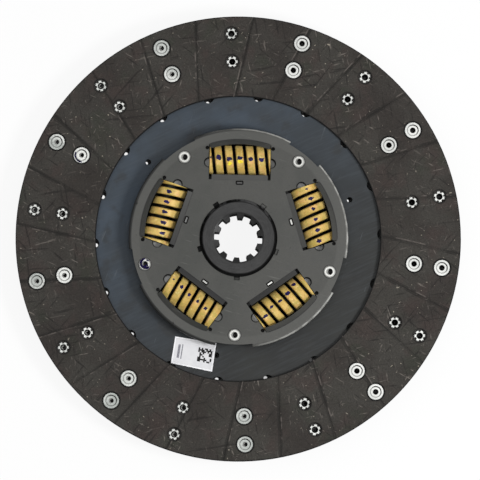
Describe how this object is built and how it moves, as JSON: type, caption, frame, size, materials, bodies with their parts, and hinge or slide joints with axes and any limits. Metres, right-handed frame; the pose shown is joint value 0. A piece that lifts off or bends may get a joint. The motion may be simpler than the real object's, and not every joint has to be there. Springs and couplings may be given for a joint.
{
  "type": "clutch disc",
  "caption": "Sprung clutch disc for a heavy vehicle: riveted friction facings on a cushioned carrier, coil spring damper between side plates, splined hub.",
  "frame": {"origin": "on the hub's axis, at the middle of the thin carrier plate's thickness", "axes": "+Z along the hub's axis, out of the side with the retainer plate; +Y towards the top of the picture and +X to its right"},
  "size_m": [0.35, 0.35, 0.04],
  "materials": {
    "facing": "pressed friction lining, matte",
    "carrier": "blued spring steel",
    "side_plate": "phosphated steel",
    "hub": "dark phosphated forging",
    "spring": "yellow passivated",
    "pin": "bright, headed",
    "rivet": "bright plated",
    "washer": "bright spring steel",
    "friction_ring": "friction material",
    "bush": "black polymer"
  },
  "bodies": {
    "driven_disc": {"front_facing": "facing", "rear_facing": "facing", "front_facing_rivets": "rivet", "rear_facing_rivets": "rivet", "carrier_plate": "carrier", "drive_plate": "side_plate", "retainer_plate": "side_plate", "front_friction_ring": "friction_ring", "rear_friction_ring": "friction_ring", "thrust_washer": "washer", "spring_washer": "washer", "front_bush": "bush", "rear_bush": "bush", "damper_spring_1": "spring", "damper_spring_2": "spring", "damper_spring_3": "spring", "damper_spring_4": "spring", "damper_spring_5": "spring", "stop_pin_1": "pin", "stop_pin_2": "pin", "stop_pin_3": "pin", "stop_pin_4": "pin", "stop_pin_5": "pin"},
    "hub": {"hub": "hub"}
  },
  "joints": [
    {"name": "damper_twist", "type": "hinge", "parent": "driven_disc", "child": "hub", "pos_m": [0, 0, 0.0058], "axis": [0, 0, 1], "range_deg": [-6, 6], "stiffness_Nm_per_rad": 4000, "deforming": ["damper_spring_1", "damper_spring_2", "damper_spring_3", "damper_spring_4", "damper_spring_5"]}
  ]
}
